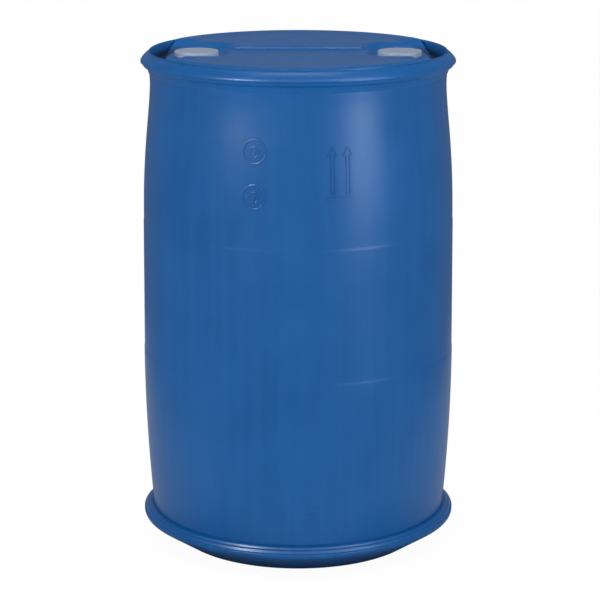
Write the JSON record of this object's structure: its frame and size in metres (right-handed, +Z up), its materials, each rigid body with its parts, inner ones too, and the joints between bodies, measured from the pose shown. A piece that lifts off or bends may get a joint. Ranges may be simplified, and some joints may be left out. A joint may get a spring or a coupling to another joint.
{
  "type": "plastic chemical drum",
  "caption": "Closed-head blow-moulded drum with bowed barrel, handling rings, recessed threaded bungs, gasketed screw plugs and pull-off cap seals.",
  "frame": {"origin": "centre of the base, on the floor", "axes": "+Z up along the drum's axis, -Y to the front, +X to the right with the bungs on the X axis"},
  "size_m": [0.5919, 0.592, 0.93],
  "materials": {
    "drum_shell": "semi-gloss blow-moulded high-density polyethylene",
    "handling_ring": "semi-gloss moulded high-density polyethylene",
    "bung_neck": "satin injection-moulded high-density polyethylene",
    "bung_plug": "satin injection-moulded polyethylene",
    "plug_gasket": "matt rubber",
    "cap_seal": "satin translucent-white polyethylene"
  },
  "bodies": {
    "drum": {"drum_body": "drum_shell", "top_ring": "handling_ring", "bottom_ring": "handling_ring", "left_neck": "bung_neck", "right_neck": "bung_neck"},
    "left_gasket": {"left_plug_gasket": "plug_gasket"},
    "left_plug": {"left_plug": "bung_plug"},
    "left_seal": {"left_cap_seal": "cap_seal"},
    "right_gasket": {"right_plug_gasket": "plug_gasket"},
    "right_plug": {"right_plug": "bung_plug"},
    "right_seal": {"right_cap_seal": "cap_seal"}
  },
  "joints": [
    {"name": "left_plug_lift", "type": "slide", "parent": "drum", "child": "left_gasket", "axis": [0, 0, 1], "range_m": [0, 0.0161]},
    {"name": "left_plug_turn", "type": "hinge", "parent": "left_gasket", "child": "left_plug", "pos_m": [-0.187, 0, 0.92], "axis": [0, 0, 1], "range_deg": [0, 1440]},
    {"name": "left_seal_pull", "type": "slide", "parent": "left_plug", "child": "left_seal", "axis": [0, 0, 1], "range_m": [0, 0.06]},
    {"name": "right_plug_lift", "type": "slide", "parent": "drum", "child": "right_gasket", "axis": [0, 0, 1], "range_m": [0, 0.014]},
    {"name": "right_plug_turn", "type": "hinge", "parent": "right_gasket", "child": "right_plug", "pos_m": [0.187, 0, 0.92], "axis": [0, 0, 1], "range_deg": [0, 2160]},
    {"name": "right_seal_pull", "type": "slide", "parent": "right_plug", "child": "right_seal", "axis": [0, 0, 1], "range_m": [0, 0.06]}
  ],
  "couplings": [
    {"joint": "left_plug_lift", "follows": "left_plug_turn", "m_per_rad": 0.00063662},
    {"joint": "right_plug_lift", "follows": "right_plug_turn", "m_per_rad": 0.0003675}
  ]
}
